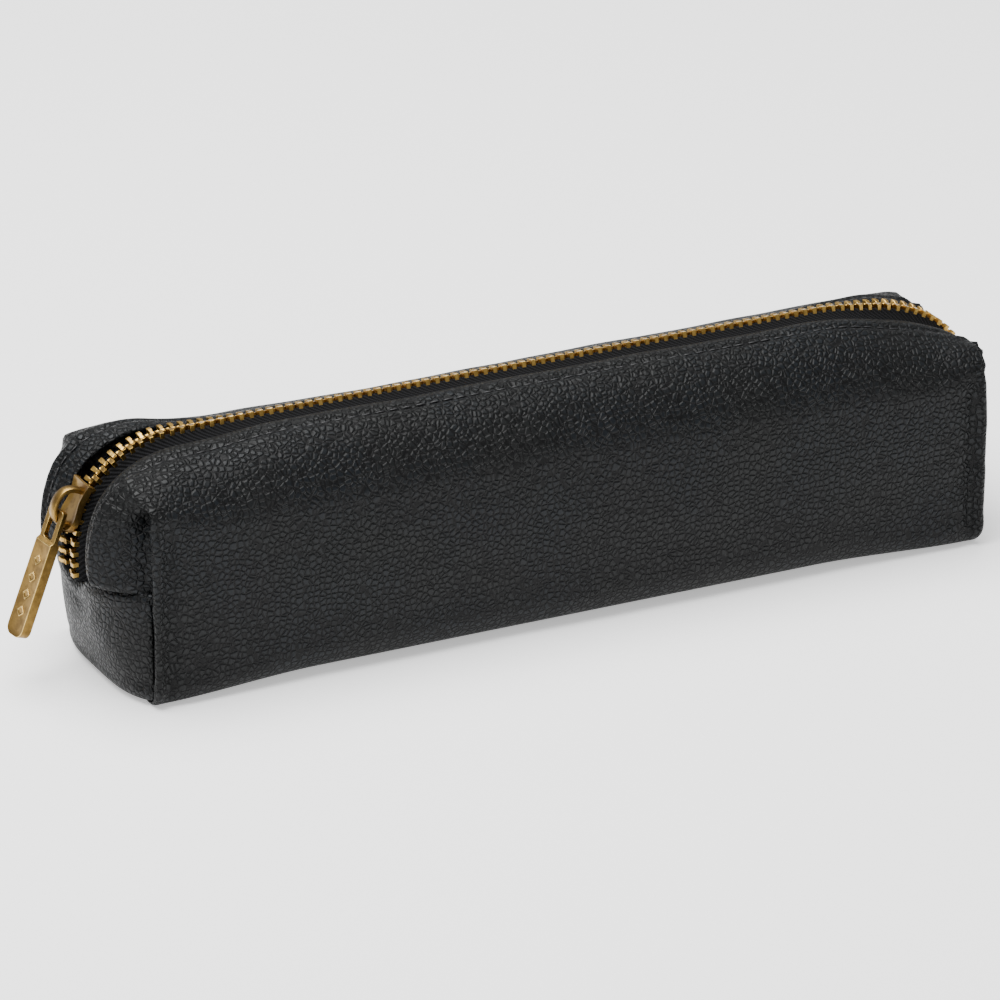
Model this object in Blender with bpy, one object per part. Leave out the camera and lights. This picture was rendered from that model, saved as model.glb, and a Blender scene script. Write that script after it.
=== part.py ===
"""A slim boxed leather case for fountain pens, closed by a brass zip that runs over the top and down both ends.

Units are metres, +Z is up. X runs along the case, the front faces -Y, and the origin is the middle of the
underside. The upper half is two lips, front and back, that swing apart as the zip opens. The zip's path is a
straight run along the top, a round corner at each end and a short run down each end face to the end seam.
"""

import math

import bmesh
import bpy
from mathutils import Matrix, Vector

# Case
LENGTH = 0.200  # between the corner seams of the two ends
DEPTH = 0.048  # front to back
SHOULDER_HEIGHT = 0.0465  # where the front and the top would meet, were they not rounded
CORNER_HEIGHT = 0.0460  # the same at the corner seams
SHOULDER_RADIUS = 0.011
CORNER_RADIUS = 0.004
BASE_RADIUS = 0.007
SEAM_HEIGHT = 0.0245  # end seam, where the lips part from the lower half
END_STATION = 0.004  # between the outline at a corner seam and the next one in
BEND_STATIONS = (0.006, -0.004)  # outlines each side of where the zip starts to turn
END_SHARES = (0.15, 0.42, 0.7, 0.9)  # outlines on each end face, as shares of the whole
END_MIDDLE = 0.8  # height that they shrink to, as a share of the zip's centre

# Zip
ZIP_HEIGHT = 0.0518  # outer face of the tape along the top
ZIP_OVERHANG = 0.0080  # how far the tape on the end face stands out past the corner seams
ZIP_CORNER = 0.0232  # radius of the tape's outer face round the corner
EDGE_RISE = 0.0011  # the leather's surface, carried to the middle, above the tape
LEATHER_EDGE = 0.0065  # middle of the chain to the folded leather edge
PITCH = 0.0023  # one tooth to the next on one tape
TOOTH_LENGTH = 0.00085  # along the chain
TOOTH_REACH = 0.00075  # how far a tooth's tip passes the middle
CHAIN_HALF = 0.0023
CORD_WIDTH = 0.00115  # the solid strip along each row that holds its teeth
TOOTH_TOP = 0.0016
TOOTH_UNDER = 0.0009
ROW_SPREAD = 0.0015  # how far each row stands off the middle below the slider
SPREAD_START = 0.0015  # where the rows begin to part, ahead of the slider's middle
SPREAD_RUN = 0.0060
TAPE = 0.0005
TAPE_TUCK = 0.0011  # tape under the leather edge
TAPE_DROP = 0.0029  # how far the tape falls from the chain to the leather edge
TAPE_LEVEL = 0.0005  # where the fall ends, short of the leather edge
TAPE_STEPS = 8  # straight pieces of the tape round a corner
STOP_LENGTH = 0.0030

# Layers
LEATHER = 0.0012
LINING = 0.0004
BOARD = 0.0008
BOARD_MARGIN = (0.008, 0.008)  # in from the ends and from the sides
THREAD = 0.0006
STITCH_INSET = 0.0035  # folded edge to the thread
STITCH_MARGIN = 0.006  # from where the zip starts to turn to the thread's end
GAP = 0.0003

# Slider, in its own frame: +x towards the closed chain, z away from the case
SLIDER_ANGLE = math.radians(22)  # place on the corner arc, above the level of its centre
SLIDER_HALF = 0.00565
REAR_HALF, WAIST_HALF, SHOULDER_HALF, NOSE_HALF = 0.0037, 0.0030, 0.0038, 0.0011
WAIST_AT, SHOULDER_AT = 0.0020, -0.0020
SHOULDER_EASE = 0.0005  # how far the shoulder's corner is rounded
FLANGE = 0.0004  # thickness of the side walls
PLATE = 0.0011
CHANNEL_TOP = TOOTH_TOP + GAP
LOWER_TOP = -0.0022
LOWER_PLATE = 0.0008
FLANGE_FOOT = 0.00035
POST_HALF = 0.0004
POST_LENGTH = 0.0014
BRIDGE_WIDTH = 0.0021
BRIDGE_THICK = 0.0011
BRIDGE_HEIGHT = 0.0051  # above the plate
BRIDGE_REAR, BRIDGE_NOSE = 0.0015, 0.0008  # in from the slider's two ends
BRIDGE_SINK = 0.0004  # into the plate
BRIDGE_FULLNESS = 0.7  # 1 would be an ellipse, less is squarer
BRIDGE_STEPS = 8

# Puller
PULLER_PIVOT = (-0.0020, 0.0053)  # in the slider's frame
PULLER_TILT = math.radians(21)  # lower end outwards
PULLER_TWIST = math.radians(10)
PULLER_LENGTH = 0.0285  # pivot to tip
PULLER_WIDTH = 0.0055
PULLER_THICK = 0.0026
PULLER_NECK = 0.0012
PULLER_CORNER = 0.0016
PULLER_EASE = 0.0007  # cut off the two upper corners
SLOT_WIDTH = 0.0033
SLOT_LENGTH = 0.0062
SLOT_MARGIN = 0.001  # from the slot to where the bar gets its full thickness

# Motion
LIP_PIVOT = Vector((LENGTH / 2 + ZIP_OVERHANG, 0, 0))  # both lips fold about the right-hand end
SLIDER_OPEN_X = 0.072  # the slider's place on the top when the zip is open

PATH_CENTRE = Vector((LENGTH / 2 + ZIP_OVERHANG - ZIP_CORNER, 0, ZIP_HEIGHT - ZIP_CORNER))
BIG = 2 * LENGTH


# ---------------------------------------------------------------- helpers


def clear_scene():
    for obj in list(bpy.data.objects):
        bpy.data.objects.remove(obj, do_unlink=True)


def finish_material(name, colour, roughness, metallic=0.0):
    material = bpy.data.materials.new(name)
    material.use_nodes = True
    shader = material.node_tree.nodes["Principled BSDF"]
    shader.inputs["Base Color"].default_value = (*colour, 1)
    shader.inputs["Roughness"].default_value = roughness
    shader.inputs["Metallic"].default_value = metallic
    return material


def mesh_object(name, bm, material=None):
    bmesh.ops.remove_doubles(bm, verts=bm.verts, dist=1e-7)
    bmesh.ops.recalc_face_normals(bm, faces=bm.faces)
    mesh = bpy.data.meshes.new(name)
    bm.to_mesh(mesh)
    bm.free()
    obj = bpy.data.objects.new(name, mesh)
    bpy.context.scene.collection.objects.link(obj)
    if material:
        mesh.materials.append(material)
    return obj


def hide_helper(obj):
    obj.hide_render = True
    obj.display_type = "WIRE"
    return obj


def block(name, low, high):
    """A helper box between two corners."""
    bm = bmesh.new()
    bmesh.ops.create_cube(bm, size=1)
    low, high = Vector(low), Vector(high)
    size = high - low
    bmesh.ops.transform(
        bm,
        matrix=Matrix.Translation((low + high) / 2) @ Matrix.Diagonal((*size, 1)),
        verts=bm.verts,
    )
    return hide_helper(mesh_object(name, bm))


def boolean(obj, operation, other):
    modifier = obj.modifiers.new(operation.lower(), "BOOLEAN")
    modifier.operation = operation
    modifier.object = other


def join_rings(bm, rings):
    """A skin through closed rings of equal length, capped at both ends."""
    edges = []
    for ring in rings:
        verts = [bm.verts.new(p) for p in ring]
        edges.append([bm.edges.new(pair) for pair in zip(verts, verts[1:] + verts[:1])])
    for one, other in zip(edges, edges[1:]):
        bmesh.ops.bridge_loops(bm, edges=one + other)
    bmesh.ops.holes_fill(bm, edges=edges[0] + edges[-1], sides=0)


def extrude_outline(bm, outline, lift):
    """A prism: the closed outline's face, extruded along lift."""
    face = bm.faces.new([bm.verts.new(p) for p in outline])
    made = bmesh.ops.extrude_face_region(bm, geom=[face])["geom"]
    bmesh.ops.translate(bm, vec=lift, verts=[v for v in made if isinstance(v, bmesh.types.BMVert)])


def upright_prism(bm, points, low, high):
    """A prism on an outline of (x, y) points between two heights."""
    extrude_outline(bm, [(x, y, low) for x, y in points], (0, 0, high - low))


# ---------------------------------------------------------------- the case's surface


def fillet(before, corner, after, radius, count):
    """Points of the arc that rounds a corner between two straight runs."""
    before, corner, after = Vector(before), Vector(corner), Vector(after)
    one, two = (before - corner).normalized(), (after - corner).normalized()
    half = one.angle(two) / 2
    centre = corner + (one + two).normalized() * radius / math.sin(half)
    start = (corner + one * radius / math.tan(half) - centre).normalized()
    end = (corner + two * radius / math.tan(half) - centre).normalized()
    return [centre + start.slerp(end, i / count) * radius for i in range(count + 1)]


def crown(x, inset):
    """Height of the surface over the middle, which follows the zip's path."""
    over = max(abs(x) - PATH_CENTRE.x, 0)
    radius = ZIP_CORNER + EDGE_RISE - inset
    return PATH_CENTRE.z + math.sqrt(radius**2 - over**2)


def section(x, inset):
    """The closed outline of the case across X, as points (y, z), set in from the leather's surface."""
    share = max(abs(x) - PATH_CENTRE.x, 0) / (LENGTH / 2 - PATH_CENTRE.x)
    half = DEPTH / 2 - inset
    shoulder = SHOULDER_HEIGHT + (CORNER_HEIGHT - SHOULDER_HEIGHT) * share - inset
    radius = max(SHOULDER_RADIUS + (CORNER_RADIUS - SHOULDER_RADIUS) * share - inset, 0.0015)
    base = max(BASE_RADIUS - inset, 0.001)
    top = (0, crown(x, inset), 0)
    side = fillet((0, inset, 0), (half, inset, 0), (half, shoulder, 0), base, 3)
    side += fillet((half, inset, 0), (half, shoulder, 0), top, radius, 4)
    left = [(-p.x, p.y) for p in side]
    return [(0, inset)] + [(p.x, p.y) for p in side] + [(0, top[1])] + left[::-1]


def end_bulge(y, z, inset):
    """How far the end face stands out past the corner seams."""
    radius = ZIP_CORNER + EDGE_RISE
    reach = ZIP_OVERHANG + EDGE_RISE
    flat = radius - reach
    height = min(max(z - PATH_CENTRE.z + inset, 0), radius)
    upper = (math.sqrt(radius**2 - height**2) - flat) / reach
    lower = 1 - min(max(PATH_CENTRE.z - z, 0) / PATH_CENTRE.z, 1) ** 3
    return reach * max(upper, 0) * lower * (1 - min(abs(y) / (DEPTH / 2), 1))


def case_solid(name, inset):
    """The whole case as one closed form, set in from the leather's surface."""
    end = LENGTH / 2 - inset
    runs = [end, end - END_STATION] + [PATH_CENTRE.x + off for off in BEND_STATIONS]
    rings = []
    outline = section(end, inset)
    middle = PATH_CENTRE.z * END_MIDDLE
    for share in END_SHARES:
        points = [(y * share, middle + (z - middle) * share) for y, z in outline]
        rings.append([(end + end_bulge(y, z, inset), y, z) for y, z in points])
    rings += [[(x, y, z) for y, z in section(x, inset)] for x in runs]
    rings += [[(-x, y, z) for x, y, z in ring] for ring in rings[::-1]]
    bm = bmesh.new()
    join_rings(bm, rings)
    return hide_helper(mesh_object(name, bm))


def layer(name, material, outer, inner, low, high):
    """The part of a shell between two closed forms that lies in a box."""
    obj = outer.copy()
    obj.data = outer.data.copy()
    obj.name = name
    obj.data.name = name
    obj.data.materials.append(material)
    obj.hide_render = False
    obj.display_type = "TEXTURED"
    bpy.context.scene.collection.objects.link(obj)
    boolean(obj, "DIFFERENCE", inner)
    boolean(obj, "INTERSECT", block(name + "_region", low, high))
    return obj


def case_layers(leather, lining, board):
    outer, back = case_solid("leather_face", 0), case_solid("leather_back", LEATHER)
    inset = LEATHER + GAP + BOARD + GAP
    lining_face = case_solid("lining_face", inset)
    lining_back = case_solid("lining_back", inset + LINING)
    below, above = SEAM_HEIGHT - GAP / 2, SEAM_HEIGHT + GAP / 2
    lining_edge = LEATHER_EDGE + TAPE_TUCK + GAP
    layer("leather_lower", leather, outer, back, (-BIG, -BIG, -BIG), (BIG, BIG, below))
    layer("lining_lower", lining, lining_face, lining_back, (-BIG, -BIG, -BIG), (BIG, BIG, below))
    for side, sign in (("front", -1), ("back", 1)):
        for what, material, faces, edge in (
            ("leather", leather, (outer, back), LEATHER_EDGE),
            ("lining", lining, (lining_face, lining_back), lining_edge),
        ):
            near, far = sorted((sign * edge, sign * BIG))
            layer(f"{what}_upper_{side}", material, *faces, (-BIG, near, above), (BIG, far, BIG))
    bm = bmesh.new()
    bmesh.ops.create_cube(bm, size=1)
    size = (LENGTH - 2 * BOARD_MARGIN[0], DEPTH - 2 * BOARD_MARGIN[1], BOARD, 1)
    at = Matrix.Translation((0, 0, LEATHER + GAP + BOARD / 2))
    bmesh.ops.transform(bm, matrix=at @ Matrix.Diagonal(size), verts=bm.verts)
    mesh_object("base_board", bm, board)


# ---------------------------------------------------------------- the zip


def path_length():
    """From the left end seam, over both corners, to the right end seam."""
    down = PATH_CENTRE.z - SEAM_HEIGHT
    return 2 * down + math.pi * ZIP_CORNER + 2 * PATH_CENTRE.x


def on_path(along):
    """(point, outward normal) on the tape's outer face, at a distance along the path."""
    down, turn, top = PATH_CENTRE.z - SEAM_HEIGHT, math.pi / 2 * ZIP_CORNER, 2 * PATH_CENTRE.x
    if along > path_length() / 2:
        point, normal = on_path(path_length() - along)
        return Vector((-point.x, 0, point.z)), Vector((-normal.x, 0, normal.z))
    centre = Vector((-PATH_CENTRE.x, 0, PATH_CENTRE.z))
    if along < down:
        return centre + Vector((-ZIP_CORNER, 0, along - down)), Vector((-1, 0, 0))
    if along < down + turn:
        angle = (along - down) / ZIP_CORNER
        normal = Vector((-math.cos(angle), 0, math.sin(angle)))
        return centre + normal * ZIP_CORNER, normal
    return centre + Vector((along - down - turn, 0, ZIP_CORNER)), Vector((0, 0, 1))


def slider_along():
    """Where the slider's middle stands along the path."""
    return PATH_CENTRE.z - SEAM_HEIGHT + SLIDER_ANGLE * ZIP_CORNER


def spread(along):
    """How far a row stands off the middle: nothing where it is meshed, the full spread below the slider."""
    share = min(max((slider_along() + SPREAD_START - along) / SPREAD_RUN, 0), 1)
    return ROW_SPREAD * share**2 * (3 - 2 * share)


def sweep(profile, sign, stops, spreads):
    """A bar with this profile of (distance off the middle, height off the tape) along the path."""
    bm = bmesh.new()
    rings = []
    for along in stops:
        point, normal = on_path(along)
        off = spread(along) if spreads else 0
        rings.append([point + normal * h + Vector((0, sign * (y + off), 0)) for y, h in profile])
    join_rings(bm, rings)
    return bm


def teeth_row(side, sign, brass):
    """One row of teeth, joined by the cord that they are clamped on."""
    count = int((path_length() - STOP_LENGTH - PITCH) / PITCH)
    first = GAP + (PITCH / 2 if sign > 0 else 0)
    stops = [first + PITCH * i + extra for i in range(count) for extra in (0, TOOTH_LENGTH)]
    inner = CHAIN_HALF - CORD_WIDTH
    profile = [(CHAIN_HALF, -TOOTH_UNDER), (CHAIN_HALF, TOOTH_TOP), (inner, TOOTH_TOP), (inner, -TOOTH_UNDER)]
    bm = sweep(profile, sign, stops, True)
    bmesh.ops.recalc_face_normals(bm, faces=bm.faces)
    bm.faces.ensure_lookup_table()
    teeth = []
    for face in bm.faces:
        middle = face.calc_center_median()
        if face.normal.y * sign > -0.5 or len(face.verts) != 4:
            continue
        shortest = min(edge.calc_length() for edge in face.edges)
        if shortest < PITCH / 2 and abs(middle.y) < CHAIN_HALF + ROW_SPREAD:
            teeth.append(face)
    made = bmesh.ops.extrude_discrete_faces(bm, faces=teeth)["faces"]
    verts = list({v for face in made for v in face.verts})
    bmesh.ops.translate(bm, vec=(0, -sign * (inner + TOOTH_REACH), 0), verts=verts)
    mesh_object(f"zip_teeth_{side}", bm, brass)


def tape_strip(side, sign, cloth):
    """Woven tape from the row of teeth to under the leather edge. Only its inner edge follows the spread rows."""
    edge = CHAIN_HALF + GAP
    face = [
        (edge, 0),
        (LEATHER_EDGE - TAPE_LEVEL, -TAPE_DROP),
        (LEATHER_EDGE + TAPE_TUCK, -TAPE_DROP - GAP),
    ]
    profile = face + [(y, h - TAPE) for y, h in face[::-1]]
    turn = math.pi / 2 * ZIP_CORNER
    down = PATH_CENTRE.z - SEAM_HEIGHT
    stops = [GAP, down] + [down + turn * (i + 1) / TAPE_STEPS for i in range(TAPE_STEPS)]
    stops += [path_length() - s for s in stops[::-1]]
    bm = sweep(profile, sign, stops, False)
    for vert in bm.verts:
        if abs(vert.co.y) < edge + GAP / 2 and vert.co.x < -PATH_CENTRE.x:
            angle = math.atan2(vert.co.z - PATH_CENTRE.z, -vert.co.x - PATH_CENTRE.x)
            vert.co.y += sign * spread(down + angle * ZIP_CORNER)
    mesh_object(f"zip_tape_{side}", bm, cloth)


def topstitch(side, sign, thread):
    """The line of thread along the folded leather edge, on the straight of the top."""
    near = LEATHER_EDGE + STITCH_INSET
    slope = (ZIP_HEIGHT + EDGE_RISE - SHOULDER_HEIGHT) / (DEPTH / 2)
    low = EDGE_RISE - slope * near + GAP
    profile = [(near, low), (near + THREAD, low), (near + THREAD, low + THREAD), (near, low + THREAD)]
    start = PATH_CENTRE.z - SEAM_HEIGHT + math.pi / 2 * ZIP_CORNER + STITCH_MARGIN
    bm = sweep(profile, sign, [start, path_length() - start], False)
    mesh_object(f"topstitch_{side}", bm, thread)


def end_stop(brass):
    """The metal box that joins the two rows at the right end seam."""
    bm = bmesh.new()
    bmesh.ops.create_cube(bm, size=1)
    point, _ = on_path(path_length() - GAP - STOP_LENGTH / 2)
    size = (TOOTH_TOP + TOOTH_UNDER, 2 * CHAIN_HALF, STOP_LENGTH - GAP, 1)
    at = Matrix.Translation(point + Vector(((TOOTH_TOP - TOOTH_UNDER) / 2, 0, 0)))
    bmesh.ops.transform(bm, matrix=at @ Matrix.Diagonal(size), verts=bm.verts)
    mesh_object("end_stop", bm, brass)


# ---------------------------------------------------------------- slider and puller


def slider_frame():
    """Places a shape from the slider's own frame on the left corner of the zip."""
    point, _ = on_path(slider_along())
    return Matrix.Translation(point) @ Matrix.Rotation(SLIDER_ANGLE - math.pi / 2, 4, "Y")


def shield(grow):
    """The slider's outline from the nose round one side to the rear, mirrored."""
    half = [
        (-SLIDER_HALF, NOSE_HALF),
        (SHOULDER_AT - SHOULDER_EASE, SHOULDER_HALF - SHOULDER_EASE / 2 + grow),
        (SHOULDER_AT + SHOULDER_EASE, SHOULDER_HALF + grow),
        (WAIST_AT, WAIST_HALF + grow),
        (SLIDER_HALF, REAR_HALF + grow),
    ]
    return half + [(x, -y) for x, y in half[::-1]]


def slider_body(brass):
    """Upper plate with side flanges, lower plate, the post that parts the rows and the bridge, cast as one."""
    top = CHANNEL_TOP + PLATE
    bm = bmesh.new()
    upright_prism(bm, shield(FLANGE), FLANGE_FOOT, top)
    body = mesh_object("slider_body", bm, brass)

    bm = bmesh.new()
    reach = CHAIN_HALF + GAP
    inside = [(-BIG, SHOULDER_HALF), (SHOULDER_AT, SHOULDER_HALF), (WAIST_AT, reach), (BIG, reach)]
    inside += [(x, -y) for x, y in inside[::-1]]
    upright_prism(bm, inside, FLANGE_FOOT - BIG, CHANNEL_TOP)
    channel = hide_helper(mesh_object("slider_channel", bm))
    boolean(body, "DIFFERENCE", channel)

    bm = bmesh.new()
    upright_prism(bm, shield(0), LOWER_TOP - LOWER_PLATE, LOWER_TOP)
    lower = hide_helper(mesh_object("slider_lower_plate", bm))
    boolean(body, "UNION", lower)

    bm = bmesh.new()
    middle = -SLIDER_HALF + POST_LENGTH / 2
    post = [(-SLIDER_HALF, 0), (middle, POST_HALF), (-SLIDER_HALF + POST_LENGTH, 0), (middle, -POST_HALF)]
    upright_prism(bm, post, LOWER_TOP - LOWER_PLATE / 2, CHANNEL_TOP + PLATE / 2)
    pillar = hide_helper(mesh_object("slider_post", bm))
    boolean(body, "UNION", pillar)

    bm = bmesh.new()
    outline = [(x, -BRIDGE_WIDTH / 2, z) for x, z in bridge_outline(top)]
    extrude_outline(bm, outline, (0, BRIDGE_WIDTH, 0))
    bridge = hide_helper(mesh_object("slider_bridge", bm))
    boolean(body, "UNION", bridge)
    for obj in (body, channel, lower, pillar, bridge):
        obj.matrix_world = slider_frame()
    return body


def bridge_outline(top):
    """Side view of the bridge: an arch that starts at the rear and drops to the nose."""
    rear, front = SLIDER_HALF - BRIDGE_REAR, -SLIDER_HALF + BRIDGE_NOSE
    middle, reach = (rear + front) / 2, (rear - front) / 2
    foot, rise = top - BRIDGE_SINK, BRIDGE_HEIGHT + BRIDGE_SINK
    outer, inner = [], []
    for i in range(BRIDGE_STEPS + 1):
        angle = math.pi * i / BRIDGE_STEPS
        across, up = math.cos(angle), math.sin(angle) ** BRIDGE_FULLNESS
        outer.append((middle + reach * across, foot + rise * up))
        inner.append((middle + (reach - BRIDGE_THICK) * across, foot + (rise - BRIDGE_THICK) * up))
    return outer + inner[::-1]


def puller_outline():
    """The bar seen flat, as points (y, z) from the pivot: two rounded lower corners and two eased upper ones."""
    half, corner = PULLER_WIDTH / 2, PULLER_CORNER
    tip = [
        (half - corner + corner * math.cos(a), -PULLER_LENGTH + corner - corner * math.sin(a))
        for a in (0, math.pi / 4, math.pi / 2)
    ]
    rise = PULLER_NECK / 2
    right = [(half - PULLER_EASE, rise), (half, rise - PULLER_EASE), *tip]
    return right + [(-y, z) for y, z in right[::-1]]


def puller(brass):
    """A flat bar, thinner at its slotted neck, that hangs on the bridge."""
    bm = bmesh.new()
    outline = [(-PULLER_THICK / 2, y, z) for y, z in puller_outline()]
    extrude_outline(bm, outline, (PULLER_THICK, 0, 0))
    neck_end = -SLOT_LENGTH - SLOT_MARGIN
    geometry = bm.verts[:] + bm.edges[:] + bm.faces[:]
    bmesh.ops.bisect_plane(bm, geom=geometry, plane_co=(0, 0, neck_end), plane_no=(0, 0, 1))
    for vert in bm.verts:
        if vert.co.z > neck_end + GAP / 2:
            vert.co.x *= PULLER_NECK / PULLER_THICK
    obj = mesh_object("puller", bm, brass)
    slot = block(
        "puller_slot",
        (-PULLER_THICK, -SLOT_WIDTH / 2, -SLOT_LENGTH),
        (PULLER_THICK, SLOT_WIDTH / 2, -PULLER_NECK / 2),
    )
    boolean(obj, "DIFFERENCE", slot)
    pivot = slider_frame() @ Vector((PULLER_PIVOT[0], 0, PULLER_PIVOT[1]))
    turn = Matrix.Rotation(PULLER_TILT, 4, "Y") @ Matrix.Rotation(PULLER_TWIST, 4, "Z")
    for each in (obj, slot):
        each.matrix_world = Matrix.Translation(pivot) @ turn
    return obj


# ---------------------------------------------------------------- motion


def slider_pivot():
    """The centre of the one turn that carries the slider from the left corner to its open place on the top."""
    start, _ = on_path(slider_along())
    across = (Vector((SLIDER_OPEN_X, 0, ZIP_HEIGHT)) - start) / 2
    half_turn = (math.pi / 2 - SLIDER_ANGLE) / 2
    return start + across + Vector((across.z, 0, -across.x)) / math.tan(half_turn)


def hang_on(name, place, children):
    """Parents the moving pieces to an empty on their joint's axis, where they stand."""
    pivot = bpy.data.objects.new(name, None)
    pivot.location = place
    bpy.context.scene.collection.objects.link(pivot)
    for child in children:
        child.parent = pivot
        child.matrix_parent_inverse = Matrix.Translation(-place)


def lip_pieces(side):
    names = ("leather_upper_", "lining_upper_", "zip_tape_", "zip_teeth_", "topstitch_")
    return [bpy.data.objects[name + side] for name in names]


def main():
    clear_scene()
    leather = finish_material("leather", (0.012, 0.013, 0.014), 0.5)
    lining = finish_material("lining", (0.03, 0.03, 0.035), 0.9)
    board = finish_material("board", (0.25, 0.2, 0.15), 0.9)
    cloth = finish_material("tape", (0.012, 0.012, 0.012), 0.9)
    thread = finish_material("thread", (0.015, 0.015, 0.015), 0.6)
    brass = finish_material("brass", (0.42, 0.3, 0.12), 0.35, 1.0)
    case_layers(leather, lining, board)
    for side, sign in (("front", -1), ("back", 1)):
        teeth_row(side, sign, brass)
        tape_strip(side, sign, cloth)
        topstitch(side, sign, thread)
        hang_on(f"{side}_lip_pivot", LIP_PIVOT, lip_pieces(side))
    end_stop(brass)
    hang_on("slider_pivot", slider_pivot(), [slider_body(brass), puller(brass)])


main()
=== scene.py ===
# %% [markdown]
# # A zipped leather case for fountain pens
# The case is a slim box of pebbled black leather. A brass zip runs up the left end, along the top and down the
# right end, and its slider is parked on the left corner. The frame already holds every working piece at its real
# place and size, so this lesson only makes the surfaces that are seen: leather, tape, teeth, slider and puller.

# %% The frame and its sizes
import math

import bmesh
import bpy
from mathutils import Matrix, Vector, noise


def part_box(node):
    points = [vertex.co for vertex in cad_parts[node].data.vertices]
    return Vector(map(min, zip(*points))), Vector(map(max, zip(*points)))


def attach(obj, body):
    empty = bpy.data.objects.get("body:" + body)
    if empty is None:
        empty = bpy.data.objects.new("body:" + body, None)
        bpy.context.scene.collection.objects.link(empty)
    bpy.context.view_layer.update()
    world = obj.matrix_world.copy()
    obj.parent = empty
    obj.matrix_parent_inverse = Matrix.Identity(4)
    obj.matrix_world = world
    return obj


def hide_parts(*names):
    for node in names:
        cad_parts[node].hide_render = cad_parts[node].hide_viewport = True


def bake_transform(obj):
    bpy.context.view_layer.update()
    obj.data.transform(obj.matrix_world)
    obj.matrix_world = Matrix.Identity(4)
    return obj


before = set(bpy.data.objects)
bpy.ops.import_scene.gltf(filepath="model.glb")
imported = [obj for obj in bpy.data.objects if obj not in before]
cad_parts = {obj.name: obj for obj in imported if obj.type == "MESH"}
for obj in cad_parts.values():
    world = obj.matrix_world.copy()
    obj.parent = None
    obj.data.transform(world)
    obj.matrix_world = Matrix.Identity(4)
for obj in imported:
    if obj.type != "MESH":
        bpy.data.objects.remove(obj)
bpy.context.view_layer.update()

MM = 0.001
_, lower_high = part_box("leather_lower")
lip_low, lip_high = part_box("leather_upper_front")
_, tape_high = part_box("zip_tape_front")
stop_low, stop_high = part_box("end_stop")

OVERHANG = 8.0 * MM  # the zip on the end face past the two corner seams
END = tape_high.x - OVERHANG  # from the middle to a corner seam
SIDE = -lip_low.y  # half the depth
EDGE = -lip_high.y  # middle of the chain to the folded leather edge
SEAM = lower_high.z  # height of the end seam
TURN = 23.2 * MM  # radius of the tape's outer face round the corners
TURN_X = tape_high.x - TURN
TURN_Z = tape_high.z - TURN
LEFT = Vector((-1, 0, 0))
FRONT = Vector((0, -1, 0))
UP = Vector((0, 0, 1))
print(f"corner seams at {END / MM:.1f} mm, depth {2 * SIDE / MM:.1f} mm, end seam {SEAM / MM:.1f} mm up")

# %% [markdown]
# ## Camera
# The case is seen from its left front, a little from above, through a long lens. The camera is set before
# anything else. The floor and the lights come last.

# %% Camera
CAMERA_DISTANCE = 1.5
CAMERA_AZIMUTH, CAMERA_ELEVATION = math.radians(-26.4), math.radians(23.0)
LENS = 248.4  # mm, on a sensor 36 mm wide
AIM = Vector((0, 0, 21.7 * MM))
AIM_RIGHT, AIM_DOWN = 6.74 * MM, 1.1 * MM  # the case sits a little right of and above the view's middle

back = Vector((
    math.sin(CAMERA_AZIMUTH) * math.cos(CAMERA_ELEVATION),
    -math.cos(CAMERA_AZIMUTH) * math.cos(CAMERA_ELEVATION),
    math.sin(CAMERA_ELEVATION),
))
camera_data = bpy.data.cameras.new("camera")
camera_data.lens = LENS
camera_data.sensor_width = 36
camera_data.clip_end = 20
camera = bpy.data.objects.new("camera", camera_data)
bpy.context.scene.collection.objects.link(camera)
camera.rotation_mode = "QUATERNION"
camera.rotation_quaternion = (-back).to_track_quat("-Z", "Y")
camera_right = camera.rotation_quaternion @ Vector((1, 0, 0))
camera_up = camera.rotation_quaternion @ Vector((0, 1, 0))
camera.location = AIM + back * CAMERA_DISTANCE - camera_right * AIM_RIGHT - camera_up * AIM_DOWN
bpy.context.scene.camera = camera
print("camera at", [round(c, 3) for c in camera.location])


# %% [markdown]
# ## Finishes as expressions
# A material is a network of nodes, but most of it is arithmetic. This small class wraps one socket, so that
# `1 - mask * 0.5` adds the Math nodes for it. Everything else comes from `Finish.add`.

# %% A socket that does arithmetic
class Signal:
    def __init__(self, finish, socket):
        self.finish = finish
        self.socket = socket

    def maths(self, operation, *values):
        return self.finish.add("Math", {"operation": operation}, dict(enumerate(values)))

    def __add__(self, other):
        return self.maths("ADD", self, other)

    def __sub__(self, other):
        return self.maths("SUBTRACT", self, other)

    def __rsub__(self, other):
        return self.maths("SUBTRACT", other, self)

    def __mul__(self, other):
        return self.maths("MULTIPLY", self, other)

    def __pow__(self, other):
        return self.maths("POWER", self, other)

    __radd__ = __add__
    __rmul__ = __mul__

    def step(self, low, high):
        """0 below low, 1 above high, and smooth between them."""
        settings = {"interpolation_type": "SMOOTHSTEP"}
        return self.finish.add("MapRange", settings, {"Value": self, "From Min": low, "From Max": high})


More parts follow.
